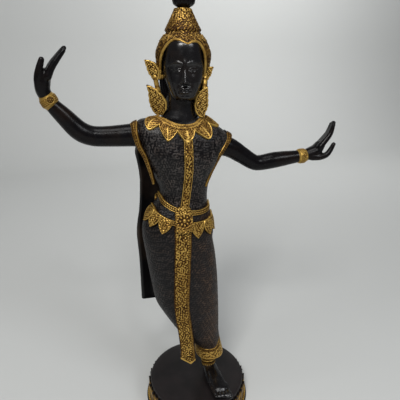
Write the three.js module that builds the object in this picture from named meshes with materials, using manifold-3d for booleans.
// A classical temple dancer, cast in bronze in one piece, balancing on one foot on a round base.
// Millimetres, +Z up. The origin is the centre of the base's underside, and the dancer faces -Y.
import * as THREE from "three";
import { mergeVertices } from "three/addons/utils/BufferGeometryUtils.js";
import Module from "manifold-3d";

const wasm = await Module();
wasm.setup();

// Driving dimensions
const baseHeight = 32;
const baseTopRadius = 60;
const baseWallRadius = 61;
const baseFootRadius = 67;
const basePetals = 28;
const petalHeight = 21.8;
const standGap = 0.3;
const totalHeight = 530;

const headX = -12.5;
const headTurn = THREE.MathUtils.degToRad(-10);
const collarTilt = 0.1;
const collarRadius = 23;
const collarDepth = 18;
const collarLeafTurns = [-1.3, -0.7, 0.1, 0.78, 1.28];
const capeThickness = 3;
const capeHalfWidth = 41.5;
const capeBottom = 135;
const stripWidth = 9;
const strapWidth = 6;
const strapThickness = 6;
const panelWidth = 17;
const panelThickness = 4;

// Level sections of the trunk and the skirt, from the neck to the hem:
// [height, centre x, centre y, half width, half depth, side tilt, squareness]
const trunkSections = [
  [371.5, -15, 3, 17, 12, 0.02, 2.2],
  [370.2, -15.5, 2.5, 27, 14, 0.03, 2.3],
  [366.4, -17.5, 2, 38, 17, 0.11, 2.4],
  [361, -16, 1.5, 46.2, 19.5, 0.125, 2.6],
  [352, -14.2, 0, 49.7, 22, 0.135, 2.8],
  [335, -17.6, -1, 41.6, 23.5, 0.15, 2.8],
  [320, -17.9, -1, 35.9, 22.5, 0.15, 2.6],
  [305, -16.6, 0, 30.5, 20.5, 0.15, 2.3],
  [290, -14.4, 1, 26.5, 20, 0.15, 2.2],
  [277, -15.6, 1.5, 28.8, 22, 0.15, 2.2],
  [262, -18.4, 2, 36, 26, 0.14, 2.2],
  [247, -20.6, 2, 39.9, 28, 0.13, 2.2],
  [235, -21.3, 2, 40, 29, 0.1, 2.2],
  [212, -18.2, 2, 40.3, 29, 0.05, 2.2],
  [183, -15, 1, 39.6, 28.5, 0, 2.2],
  [157, -12.1, 1, 38.3, 27.5, 0, 2.2],
  [141, -8, 1, 34.9, 26.5, 0, 2.2],
  [121, -2.5, 1, 30.1, 24.5, 0, 2.2],
  [104, 2.9, 1, 25, 22.5, 0, 2.2],
  [90, 9.8, 1.5, 19.3, 20.5, 0, 2.2],
  [80, 15, 2, 15.5, 18.5, 0, 2.2],
  [66, 17, 2, 16, 19, 0, 2.2],
];

// Head sections in the head's own frame: [height, centre x, centre y, half width, half depth].
// The head is a plain egg, 44 wide and 7:5 as high as wide, with the features at standard heights.
const headSections = [
  [387.8, 0, -12.6, 5, 5],
  [392.3, 0, -8.8, 12.2, 15.2],
  [398, 0, -5.5, 15.6, 19.6],
  [404, 0, -2.5, 18.2, 22.6],
  [411, 0, -0.5, 20.1, 24.6],
  [419, 0, 0.5, 21.4, 25.8],
  [427, 0, 1, 22, 26.6],
  [435, 0, 1.5, 21.6, 27],
  [443, 0, 2, 20, 25.4],
  [449, 0, 3.5, 14, 19],
];

// The crown's brim around the face: [height, centre x, centre y, half width, half depth]
const brimSections = [
  [398, 0, 9, 18.5, 17.5],
  [406, 0, 7, 22.3, 20.5],
  [414, 0, 4.5, 24.6, 23.2],
  [424, 0, 2, 26.8, 26.6],
  [431, 0, 1, 27.6, 28],
  [436.4, 0, 1, 26.8, 27.4],
  [444, 0, 1, 23.6, 24.6],
  [449.8, 0, 1, 18.6, 20],
  [453.4, 0, 1, 15.8, 16.6],
];

// The crown above the brim, with its bun and spire: [radius, height]
const crownProfile = [
  [0, 446],
  [17, 446],
  [17.4, 452],
  [17.9, 454],
  [17, 456],
  [15.4, 458.4],
  [11.6, 465.8],
  [8.4, 472.4],
  [7.6, 474],
  [10.2, 477],
  [11.2, 481],
  [11.2, 485],
  [9.8, 490],
  [6.6, 494.4],
  [7.8, 496.8],
  [5.4, 500.8],
  [6.4, 502.6],
  [4.6, 506.2],
  [4.8, 508],
  [3.2, 514],
  [2.4, 520],
  [1, totalHeight - 0.6],
  [0, totalHeight],
];

// Arms, both close to the plane y = 0: [x, y, z, radius]
const rightArm = [
  [-38, 1, 352, 12.9],
  [-62.5, 0, 354.2, 12],
  [-89.6, 0, 354.1, 10.5],
  [-107, 0, 355.4, 10.1],
  [-119.2, 0, 361.5, 10],
  [-131.2, -1, 375.3, 8.8],
  [-141.1, -2, 387.1, 7.1],
  [-144.8, -2, 393.5, 6.7],
];
const leftArm = [
  [12, 1, 343, 12.3],
  [36, 0, 336.3, 11],
  [52, 0, 326.7, 9.7],
  [66, 0, 317.6, 8.9],
  [75, 0, 315.4, 8.8],
  [94.3, -1, 317.9, 9.2],
  [120.9, -2, 320.3, 7.2],
  [131, -2, 320.8, 6.7],
];

// Hands bend back from the wrist. A palm row is [x, y, z, half thickness, half width]. A finger
// row is [x, y, z, radius] for the middle of the four, which lie side by side along `row`.
const rightHand = {
  palm: [
    [-144.5, -2, 393, 6.2, 6.6],
    [-147.6, -2, 400.5, 6.8, 8.4],
    [-147, -2, 408, 7.2, 9.2],
    [-143.8, -2, 415, 5.8, 8.6],
  ],
  finger: [
    [-142.2, -2, 413.5, 3.6],
    [-138.2, -2, 421.3, 3.3],
    [-133.2, -2, 428, 2.9],
    [-124.8, -2, 437.8, 2.1],
  ],
  thumb: [
    [-149.4, -6, 402, 4.6],
    [-149.9, -8, 411, 4],
    [-147.9, -9, 419.5, 3.4],
    [-144.9, -9, 427.8, 2.6],
  ],
  row: new THREE.Vector3(-0.13, 0.98, 0.1),
};
const leftHand = {
  palm: [
    [131, -2, 321, 6.3, 6.8],
    [138.5, -2, 323.3, 7.2, 8.4],
    [145, -2, 326.8, 6.4, 9],
    [149.5, -2, 332.5, 4.8, 8.4],
  ],
  finger: [
    [148.4, -2, 331.6, 3.6],
    [155.4, -2, 339.4, 3.3],
    [161.2, -2, 347.4, 2.9],
    [164.4, -2, 358, 2.1],
  ],
  thumb: [
    [138, -7, 320, 4.4],
    [147.5, -9, 319.8, 3.8],
    [156, -10, 323.4, 3.3],
    [162.4, -10, 334, 2.5],
  ],
  row: new THREE.Vector3(0.36, 0.93, 0),
};
const fingerPitch = 4.5;
const fingerLengths = [0.93, 1, 0.98, 0.9];

// An ear ornament in the head's frame: a flame at the temple and a broad leaf that hangs to the
// shoulder, as [x, y, z, half thickness, half width] rows, joined by a stem of round rows.
const rightOrnament = {
  flame: [
    [-27.5, -3, 407, 1.2, 2.2],
    [-28.8, -4, 415, 1.5, 6.2],
    [-32.6, -4, 421.6, 1.4, 4.8],
    [-38.3, -4, 427, 0.8, 0.6],
  ],
  leaf: [
    [-23.2, -4, 373.6, 1.2, 1.8],
    [-24.2, -4.5, 377.5, 1.5, 6],
    [-25.6, -5, 384, 1.6, 9],
    [-28.5, -5, 391, 1.6, 8],
    [-32, -4.5, 397.5, 1.4, 4.8],
    [-37.2, -4, 403.5, 0.8, 0.6],
  ],
  stem: [
    [-22, -2, 412, 2.6],
    [-28, -3.8, 412, 2.4],
    [-27, -4, 402, 2.2],
    [-25.3, -4, 393, 2],
  ],
};
const leftOrnament = {
  flame: [
    [20.8, -3, 407.5, 1.2, 2.2],
    [22.8, -4, 413.6, 1.5, 4],
    [25.6, -4, 417.3, 1.4, 3],
    [29.8, -4, 420.3, 0.8, 0.6],
  ],
  leaf: [
    [19, -8.5, 372, 1.2, 1.8],
    [17, -9, 376.5, 1.5, 5],
    [16.8, -9.5, 383, 1.6, 6.8],
    [17.8, -9.5, 390.5, 1.6, 6],
    [20.4, -9, 396.5, 1.4, 3.4],
    [23.2, -8.5, 402, 0.8, 0.6],
  ],
  stem: [
    [18, -2, 411, 2.6],
    [21.6, -4.5, 410, 2.4],
    [20.7, -7, 403, 2.2],
    [19.6, -9, 393, 2],
  ],
};

// The raised shin runs level from the bent knee to the back, under the cape: [x, y, z, radius]
const raisedShin = [
  [-22, -5, 151, 16],
  [-22, 14, 148, 14],
  [-24, 34, 146, 12.5],
  [-27, 54, 145, 11],
  [-29, 70, 145, 9.6],
];
const raisedAnkle = [
  [-29, 68, 145, 7.6],
  [-29, 77, 145, 7.2],
  [-29, 84, 142, 7.4],
];
const standingAnkle = [
  [16.8, 2, 76, 9],
  [16.6, 2, 60, 8],
  [16.6, 1.5, 47, 7.8],
  [17, 0, 40, 8.8],
];
const standingInstep = [
  [11, -4, 40, 3.6],
  [9.8, -20, 41.4, 3.6],
  [10.2, -34, 38.6, 3.2],
  [11.4, -48, 36.2, 2.8],
];
const footLength = 70;
const toePitch = 4.2;

// Smooth rows through given rows of numbers, `count` of them, evenly spaced in the rows' own steps.
function through(rows, count) {
  const at = (i) => rows[Math.min(Math.max(i, 0), rows.length - 1)];
  return Array.from({ length: count }, (_, n) => {
    const s = (n / (count - 1)) * (rows.length - 1);
    const i = Math.min(Math.floor(s), rows.length - 2);
    const t = s - i;
    return rows[0].map((_, k) => {
      const [a, b, c, d] = [at(i - 1)[k], at(i)[k], at(i + 1)[k], at(i + 2)[k]];
      return b + 0.5 * t * (c - a + t * (2 * a - 5 * b + 4 * c - d + t * (3 * (b - c) + d - a)));
    });
  });
}

// A solid from a three.js geometry.
function solidOf(geometry) {
  const bare = geometry.index ? geometry.toNonIndexed() : geometry.clone();
  bare.deleteAttribute("normal");
  bare.deleteAttribute("uv");
  const merged = mergeVertices(bare, 1e-3);
  const vertProperties = merged.attributes.position.array;
  const triVerts = new Uint32Array(merged.index.array);
  return new wasm.Manifold(new wasm.Mesh({ numProp: 3, vertProperties, triVerts }));
}

// A three.js geometry from a solid.
function geometryOf(solid) {
  const { vertProperties, triVerts } = solid.getMesh();
  const geometry = new THREE.BufferGeometry();
  geometry.setAttribute("position", new THREE.BufferAttribute(vertProperties, 3));
  return geometry.setIndex(new THREE.BufferAttribute(triVerts, 1));
}

// A closed skin over rings that all hold the same number of points, with a fan at each end.
function skin(rings) {
  const sides = rings[0].length;
  const points = rings.flat();
  const faces = [];
  for (let i = 0; i + 1 < rings.length; i++) {
    for (let j = 0; j < sides; j++) {
      const [a, b] = [i * sides + j, i * sides + ((j + 1) % sides)];
      faces.push(a, b, b + sides, a, b + sides, a + sides);
    }
  }
  for (const [ring, start, flip] of [
    [rings[0], 0, true],
    [rings.at(-1), (rings.length - 1) * sides, false],
  ]) {
    const middle = ring.reduce((sum, p) => sum.add(p), new THREE.Vector3());
    points.push(middle.divideScalar(sides));
    for (let j = 0; j < sides; j++) {
      const [a, b] = [start + j, start + ((j + 1) % sides)];
      faces.push(...(flip ? [b, a] : [a, b]), points.length - 1);
    }
  }
  const signed = faces.reduce((sum, _, i) => {
    if (i % 3) return sum;
    const [a, b, c] = [points[faces[i]], points[faces[i + 1]], points[faces[i + 2]]];
    return sum + a.dot(new THREE.Vector3().crossVectors(b, c));
  }, 0);
  if (signed < 0) faces.reverse();
  return solidOf(new THREE.BufferGeometry().setFromPoints(points).setIndex(faces));
}

const signedPower = (value, power) => Math.sign(value) * Math.abs(value) ** power;

// One level ring of a section row, drawn as a slightly squared ellipse.
function levelRing([z, x, y, halfWidth, halfDepth, tilt = 0, squareness = 2.1], sides) {
  return Array.from({ length: sides }, (_, j) => {
    const angle = (j / sides) * 2 * Math.PI;
    const across = halfWidth * signedPower(Math.cos(angle), 2 / squareness);
    const along = halfDepth * signedPower(Math.sin(angle), 2 / squareness);
    return new THREE.Vector3(x + across, y + along, z - across * tilt);
  });
}

const sectionSolid = (sections, count, sides) =>
  skin(through(sections, count).map((row) => levelRing(row, sides)));

// A round or oval limb along [x, y, z, radius, half width] rows, with domed ends.
// The half width lies along `wide`, and is the radius where it is left out.
function limb(rows, count, sides, wide = new THREE.Vector3(0, 1, 0)) {
  const samples = through(rows, count);
  const centres = samples.map(([x, y, z]) => new THREE.Vector3(x, y, z));
  const rings = samples.map((row, i) => {
    const ahead = centres[Math.min(i + 1, count - 1)];
    const behind = centres[Math.max(i - 1, 0)];
    const tangent = new THREE.Vector3().subVectors(ahead, behind).normalize();
    const side = wide.clone().addScaledVector(tangent, -wide.dot(tangent)).normalize();
    const up = new THREE.Vector3().crossVectors(tangent, side);
    return { centre: centres[i], tangent, side, up, thick: row[3], half: row[4] ?? row[3] };
  });
  const domed = (ring, way) => ({
    ...ring,
    centre: ring.centre.clone().addScaledVector(ring.tangent, way * 0.6 * ring.thick),
    thick: ring.thick * 0.62,
    half: ring.half * 0.62,
  });
  const all = [domed(rings[0], -1), ...rings, domed(rings.at(-1), 1)];
  return skin(
    all.map(({ centre, side, up, thick, half }) =>
      Array.from({ length: sides }, (_, j) => {
        const angle = (j / sides) * 2 * Math.PI;
        return centre
          .clone()
          .addScaledVector(side, half * Math.cos(angle))
          .addScaledVector(up, thick * Math.sin(angle));
      }),
    ),
  );
}

// A flat strip of given width and thickness along a path, turned so that `out` is its face.
function strip(points, outs, width, thickness, steps) {
  const path = through(points, steps);
  const faces = through(outs, steps);
  return skin(
    path.map((p, i) => {
      const [ahead, behind] = [path[Math.min(i + 1, steps - 1)], path[Math.max(i - 1, 0)]];
      const tangent = new THREE.Vector3(...ahead).sub(new THREE.Vector3(...behind)).normalize();
      const out = new THREE.Vector3(...faces[i]).normalize();
      const side = new THREE.Vector3().crossVectors(tangent, out).normalize();
      return [
        [-1, -1],
        [1, -1],
        [1, 1],
        [-1, 1],
      ].map(([s, o]) =>
        new THREE.Vector3(...p)
          .addScaledVector(side, (s * width) / 2)
          .addScaledVector(out, (o * thickness) / 2),
      );
    }),
  );
}

// A pointed leaf lying in the plane of `along` and the cross of `along` with `out`.
function leaf(at, along, out, length, width, thickness) {
  const shape = new THREE.Shape();
  shape.moveTo(-width * 0.35, 0);
  shape.quadraticCurveTo(-width * 0.72, length * 0.45, 0, length);
  shape.quadraticCurveTo(width * 0.72, length * 0.45, width * 0.35, 0);
  const flat = new THREE.ExtrudeGeometry(shape, {
    depth: thickness,
    bevelEnabled: false,
    curveSegments: 2,
  });
  const y = along.clone().normalize();
  const x = new THREE.Vector3().crossVectors(y, out).normalize();
  const z = new THREE.Vector3().crossVectors(x, y);
  const place = new THREE.Matrix4().makeBasis(x, y, z).setPosition(at);
  return solidOf(flat.translate(0, 0, -thickness / 2).applyMatrix4(place));
}

const lathe = (profile, segments, x = 0, y = 0) =>
  solidOf(
    new THREE.LatheGeometry(
      profile.map(([r, z]) => new THREE.Vector2(r, z)),
      segments,
    )
      .rotateX(Math.PI / 2)
      .translate(x, y, 0),
  );

const joined = (solids) => wasm.Manifold.union(solids);

// The trunk's section at a height, and the point on its surface at an angle, moved out by `off`.
function trunkPoint(height, angle, off = 0) {
  const rows = trunkSections;
  const i = rows.findIndex((row, n) => n + 1 < rows.length && rows[n + 1][0] <= height);
  const t = (rows[i][0] - height) / (rows[i][0] - rows[i + 1][0]);
  const [z, x, y, w, d, tilt] = rows[i].map((value, k) => value + t * (rows[i + 1][k] - value));
  const across = (w + off) * Math.cos(angle);
  return [x + across, y + (d + off) * Math.sin(angle), z - across * tilt];
}
const front = -Math.PI / 2;
const outwards = (angle, up = 0) => [Math.cos(angle), Math.sin(angle), up];

// The height of a belt at an angle: it sags towards the front and drops towards the figure's left.
const beltHeight = ({ height, sag = 0, drop = 0 }, angle) =>
  height - sag * Math.max(0, -Math.sin(angle)) ** 2 - drop * (1 + Math.cos(angle));

// A band around the trunk from one angle to another.
function band(shape) {
  const { from, to, width, thickness, steps } = shape;
  const angles = Array.from({ length: steps }, (_, n) => from + ((to - from) * n) / (steps - 1));
  return strip(
    angles.map((angle) => trunkPoint(beltHeight(shape, angle), angle, thickness * 0.2)),
    angles.map((angle) => outwards(angle)),
    width,
    thickness,
    steps,
  );
}

function trunk() {
  return sectionSolid(trunkSections, 25, 20);
}

function cape() {
  // A cloth wall that wraps the shoulder blades and then hangs free, its sides curling forward.
  // Each level is [height, how far the figure's right edge is drawn in].
  const levels = [
    [366, 0],
    [355, 0],
    [345, 0.2],
    [335, 0.5],
    [322, 2.4],
    [300, 5.1],
    [270, 3.9],
    [247, 0.5],
    [228, -1.6],
    [180, 0],
    [capeBottom, 0],
  ];
  const columns = 11;
  return skin(
    levels.map(([z, drawn]) => {
      const wrap = THREE.MathUtils.smoothstep(z, 328, 352);
      const hang = 27 + 6 * THREE.MathUtils.smoothstep(345 - z, 0, 90);
      const slant = 2 + 3.6 * THREE.MathUtils.smoothstep(200 - z, 0, 60);
      const inner = [];
      const outer = [];
      for (let j = 0; j < columns; j++) {
        const s = (j / (columns - 1)) * 2 - 1;
        const half = capeHalfWidth - drawn * Math.max(0, -s);
        const flat = [-22.5 + half * s, hang - 6 * s ** 4, z - slant * s];
        const angle = Math.PI / 2 - s * 0.56 * Math.PI;
        const wrapped = trunkPoint(Math.min(z, 360), angle, 1);
        const middle = new THREE.Vector3(...flat).lerp(new THREE.Vector3(...wrapped), wrap);
        const out = new THREE.Vector3(0.5 * s ** 3, 1, 0).lerp(new THREE.Vector3(...outwards(angle)), wrap);
        out.normalize();
        inner.push(middle.clone().addScaledVector(out, -capeThickness / 2));
        outer.push(middle.clone().addScaledVector(out, capeThickness / 2));
      }
      return [...inner, ...outer.reverse()];
    }),
  );
}

function arm(rows) {
  return limb(rows, 10, 9);
}

function hand({ palm, finger, thumb, row }) {
  const parts = [limb(palm, 4, 8), limb(thumb, 4, 6)];
  const root = new THREE.Vector3(...finger[0].slice(0, 3));
  fingerLengths.forEach((length, n) => {
    const aside = row.clone().multiplyScalar((n - 1.5) * fingerPitch);
    const rows = finger.map(([x, y, z, radius]) => {
      const place = new THREE.Vector3(x, y, z).sub(root).multiplyScalar(length);
      return [...place.add(root).add(aside).toArray(), radius];
    });
    parts.push(limb(rows, 4, 6));
  });
  return joined(parts);
}

function bracelet(rows, position, halfLength, thickness, wide) {
  const samples = through(rows, 41);
  const middle = Math.round(position * 40);
  const at = (n) => new THREE.Vector3(...samples[n].slice(0, 3));
  const along = at(middle + 1).sub(at(middle - 1)).normalize();
  const edge = (way) => [
    ...at(middle).addScaledVector(along, way * halfLength).toArray(),
    samples[middle][3] + thickness,
  ];
  return limb([edge(-1), edge(1)], 2, 12, wide);
}

function foot(heel, ahead, up, toePlaces) {
  // Rows from heel to toe tips: [share of the length, half height, half width]
  const rows = [
    [0.03, 5, 5.4],
    [0.14, 6.6, 7.8],
    [0.34, 6.4, 8.4],
    [0.52, 5.8, 9.2],
    [0.64, 5, 10],
    [0.78, 4.2, 10.4],
  ];
  const side = new THREE.Vector3().crossVectors(ahead, up);
  const place = (share, lift, off = 0) =>
    heel
      .clone()
      .addScaledVector(ahead, share * footLength)
      .addScaledVector(up, lift)
      .addScaledVector(side, off)
      .toArray();
  const sole = limb(
    rows.map(([share, high, wide]) => [...place(share, high), high, wide]),
    6,
    8,
    side,
  );
  const toes = toePlaces.map((n) => {
    const reach = 1 - 0.018 * (n + 2) ** 1.3;
    return limb(
      [
        [...place(0.76, 3.4, n * toePitch), 2.9],
        [...place(reach - 0.03, 2.4, n * toePitch), 2.4],
      ],
      2,
      5,
      side,
    );
  });
  return joined([sole, ...toes]);
}

function head() {
  const face = sectionSolid(headSections, 10, 16);
  const nose = limb(
    [
      [0, -25, 423, 1.6, 1.8],
      [0, -28, 414.5, 2.2, 2.6],
      [0, -28.4, 408, 2.6, 3.6],
    ],
    4,
    8,
    new THREE.Vector3(1, 0, 0),
  );
  const lip = (z, width) =>
    limb(
      [
        [-width, -22, z, 1],
        [0, -25, z, 1.7],
        [width, -22, z, 1],
      ],
      3,
      5,
    );
  return joined([face, nose, lip(401, 6), lip(398.2, 5)]);
}

function brim() {
  const window = new THREE.Shape();
  window.moveTo(-24, 396);
  window.quadraticCurveTo(-25.5, 408, -23.5, 420);
  window.quadraticCurveTo(-21, 440, -13, 443.8);
  window.quadraticCurveTo(-4, 446.5, 2.5, 441.5);
  window.quadraticCurveTo(8, 445.5, 14.5, 443);
  window.quadraticCurveTo(20.5, 440, 21.5, 426);
  window.quadraticCurveTo(23.5, 410, 24, 396);
  const cut = solidOf(
    new THREE.ExtrudeGeometry(window, { depth: 45, bevelEnabled: false, curveSegments: 3 })
      .rotateX(Math.PI / 2)
      .translate(0, -4, 0),
  );
  return sectionSolid(brimSections, 9, 18).subtract(cut);
}

function ear(side) {
  // A long-lobed ear, and the corner of the jaw behind it.
  const lobe = limb(
    [
      [side * 22.4, 2, 418, 3.2],
      [side * 22.6, 1.4, 405, 3.4],
      [side * 21.4, 1, 394, 2.8],
    ],
    3,
    6,
  );
  const jaw = limb(
    [
      [side * 20, 2.5, 409, 3.6],
      [side * 18, 2.5, 395, 4.2],
      [side * 14.6, 2.5, 386, 3.6],
    ],
    3,
    6,
  );
  return joined([lobe, jaw]);
}

function earOrnament({ flame, leaf: hanging, stem }) {
  const sideways = new THREE.Vector3(1, 0, 0);
  return joined([limb(flame, 5, 6, sideways), limb(hanging, 7, 6, sideways), limb(stem, 5, 6)]);
}

function headdress() {
  const crown = lathe(crownProfile, 14, 0, 1);
  const neck = sectionSolid(
    [
      [360, -4.5, 1, 21.5, 16.2],
      [371.5, -3.4, 1.4, 19, 15.4],
      [378, -2.4, 1.6, 16.8, 14.4],
      [399, -1, 1.6, 16, 14.4],
    ],
    5,
    14,
  );
  const turned = new THREE.Matrix4().makeRotationZ(headTurn).setPosition(headX, 0, 0);
  const ornaments = [earOrnament(rightOrnament), earOrnament(leftOrnament)];
  const facing = joined([head(), brim(), crown, neck, ear(-1), ear(1), ...ornaments]);
  return solidOf(geometryOf(facing).applyMatrix4(turned));
}

function collar() {
  const centre = new THREE.Vector3(-18.3, 0.5, 370);
  const onRing = (angle) =>
    new THREE.Vector3(
      centre.x + collarRadius * Math.cos(angle),
      centre.y + collarDepth * Math.sin(angle),
      centre.z - collarTilt * collarRadius * Math.cos(angle) - 4.5 * Math.sin(angle) ** 2,
    );
  const turns = 16;
  const angles = Array.from({ length: turns + 1 }, (_, n) => (n / turns) * 2 * Math.PI);
  const ring = angles.map((angle) => onRing(angle).toArray());
  const faces = angles.map((angle) => outwards(angle, 1.1));
  const half = turns / 2;
  const parts = [
    strip(ring.slice(0, half + 2), faces.slice(0, half + 2), 8, 3, half + 2),
    strip(ring.slice(half), faces.slice(half), 8, 3, half + 1),
  ];
  for (const turn of collarLeafTurns) {
    const angle = front + turn;
    const slope = 0.34 + 2.2 * Math.abs(Math.sin(angle)) ** 1.5;
    const along = new THREE.Vector3(Math.cos(angle), Math.sin(angle) * 0.75, -slope);
    const out = new THREE.Vector3(Math.cos(angle) * slope, Math.sin(angle) * slope, 1);
    parts.push(leaf(onRing(angle), along, out, 20, 18, 4.5));
  }
  return joined(parts);
}

function straps() {
  // From the top of each shoulder, in front of the arm, down and inwards to the waist.
  const right = [
    [-62.5, 15, 358],
    [-64.6, 0, 366.2],
    [-65.2, -11, 358.8],
    [-61.8, -13.6, 344.5],
    [-56.3, -13.8, 332.9],
    [-51.5, -12.4, 317.2],
    [-47, -5, 302],
  ];
  const rightFaces = right.map(([, y, z]) => [-0.4, y > 6 ? 0.6 : -1, z > 364 ? 1.6 : 0]);
  const left = [
    [33, 15, 343],
    [35.6, 0, 351],
    [32.6, -10.5, 346],
    [28.2, -13.4, 340.5],
    [21.6, -15.4, 331.6],
    [12.4, -13.8, 312],
    [8.6, -12, 297],
  ];
  const leftFaces = left.map(([, y, z]) => [0.3, y > 6 ? 0.6 : -1, z > 350 ? 1.6 : 0]);
  return joined([
    strip(right, rightFaces, strapWidth, strapThickness, 11),
    strip(left, leftFaces, strapWidth, strapThickness, 11),
  ]);
}

function frontStrip() {
  const heights = [350, 335, 318, 300, 284, 272];
  const shift = [0.06, 0.07, 0.11, 0.14, 0.1, 0.03];
  return strip(
    heights.map((z, i) => trunkPoint(z, front + shift[i], 0.2)),
    heights.map(() => [0, -1, 0]),
    stripWidth,
    3,
    11,
  );
}

function belt() {
  const right = Math.PI * 1.04;
  const left = Math.PI * 1.98;
  const ends = { from: right, to: left, steps: 11 };
  const lowerBelt = { height: 269.5, sag: 7.5, drop: 1.6, width: 4.5, thickness: 4.5, ...ends };
  const upper = band({ height: 283.5, sag: 8, drop: 2.6, width: 5, thickness: 4, ...ends });
  const lower = band(lowerBelt);
  const behind = { from: 0.02, to: Math.PI * 1.02, steps: 9 };
  const back = band({ height: 276, drop: 1.6, width: 6, thickness: 3, ...behind });
  const buckle = new THREE.Vector3(...trunkPoint(266, front - 0.04, 1));
  const plate = new THREE.CylinderGeometry(10.5, 11.5, 8, 14).scale(0.88, 1, 1.2);
  const pendants = [-1.25, -0.94, -0.52, 0.3, 0.7, 1.04].map((turn) => {
    const angle = front + turn;
    const root = new THREE.Vector3(...trunkPoint(beltHeight(lowerBelt, angle), angle, 1.5));
    const out = new THREE.Vector3(Math.cos(angle), Math.sin(angle), 0.1);
    return leaf(root, new THREE.Vector3(0, 0, -1), out, 15.5, 13, 4.5);
  });
  return joined([upper, lower, back, solidOf(plate.translate(...buckle.toArray())), ...pendants]);
}

function frontPanel() {
  const path = [
    [-21.6, -25.6, 263],
    [-22, -28.2, 240],
    [-23.4, -28.9, 200],
    [-24, -28.2, 158],
    [-20, -26.2, 122],
    [-17.4, -24.8, 97],
    [-16.8, -24.4, 84],
    [-16.6, -24.2, 75],
  ];
  return strip(
    path,
    path.map(() => [0, -1, 0.05]),
    panelWidth,
    panelThickness,
    15,
  );
}

function hem() {
  return sectionSolid(
    [
      [84, 12.6, 1.8, 17.9, 20.2, -0.25],
      [77, 15.8, 2, 16.3, 19.5, -0.12],
      [71, 16.7, 2, 16.8, 19.9, 0],
      [64.4, 17, 2, 17.4, 20.4, 0],
    ],
    5,
    24,
  );
}

function legs() {
  const sideways = new THREE.Vector3(1, 0, 0);
  const ground = new THREE.Vector3(18.6, 13, baseHeight + standGap);
  const down = new THREE.Vector3(0, 0.62, -0.78).normalize();
  const soleBack = new THREE.Vector3(0, -0.78, -0.62).normalize();
  return joined([
    limb(raisedShin, 7, 12, sideways),
    limb(raisedAnkle, 3, 10, sideways),
    foot(new THREE.Vector3(-29, 84, 150), down, soleBack, [-2, -1, 0, 1, 2]),
    limb(standingAnkle, 4, 10),
    limb(standingInstep, 4, 8),
    foot(ground, new THREE.Vector3(0.03, -1, 0), new THREE.Vector3(0, 0, 1), [-2, -1, 0, 1, 2]),
    bracelet(standingAnkle, 0.7, 4.6, 1),
    bracelet(raisedAnkle, 0.3, 2, 1.4, sideways),
  ]);
}

function dancer() {
  return joined([
    trunk(),
    cape(),
    headdress(),
    collar(),
    straps(),
    frontStrip(),
    belt(),
    frontPanel(),
    hem(),
    legs(),
    arm(rightArm),
    arm(leftArm),
    hand(rightHand),
    hand(leftHand),
    bracelet(rightArm, 0.925, 3.7, 1.4),
    bracelet(leftArm, 0.912, 3.7, 1.4),
  ]);
}

function base() {
  const body = lathe(
    [
      [0, 0],
      [baseFootRadius, 0],
      [baseFootRadius, 5],
      [baseWallRadius, 7],
      [baseWallRadius, baseHeight - 1],
      [baseTopRadius, baseHeight],
      [0, baseHeight],
    ],
    32,
  );
  const petals = Array.from({ length: basePetals }, (_, n) => {
    const angle = ((n + 0.5) / basePetals) * 2 * Math.PI;
    const out = new THREE.Vector3(...outwards(angle));
    const root = out.clone().multiplyScalar(baseWallRadius + 0.4).setZ(6);
    return leaf(root, new THREE.Vector3(0, 0, 1), out, petalHeight, 13, 5);
  });
  return joined([body, ...petals]);
}

// The outer skin of a casting, without the sealed pockets that are left where its parts meet.
const withoutPockets = (solid) =>
  solidOf(geometryOf(solid))
    .decompose()
    .find((piece) => piece.volume() > 0);

function meshOf(solid, name, colour, roughness, metalness) {
  const geometry = geometryOf(withoutPockets(solid));
  geometry.computeVertexNormals();
  const material = new THREE.MeshStandardMaterial({ color: colour, roughness, metalness });
  const mesh = new THREE.Mesh(geometry, material);
  mesh.name = name;
  return mesh;
}

const statue = new THREE.Group();
statue.add(meshOf(dancer(), "dancer", 0x1d1b1a, 0.35, 0.6));
statue.add(meshOf(base(), "round_base", 0x262322, 0.5, 0.5));

export default statue;
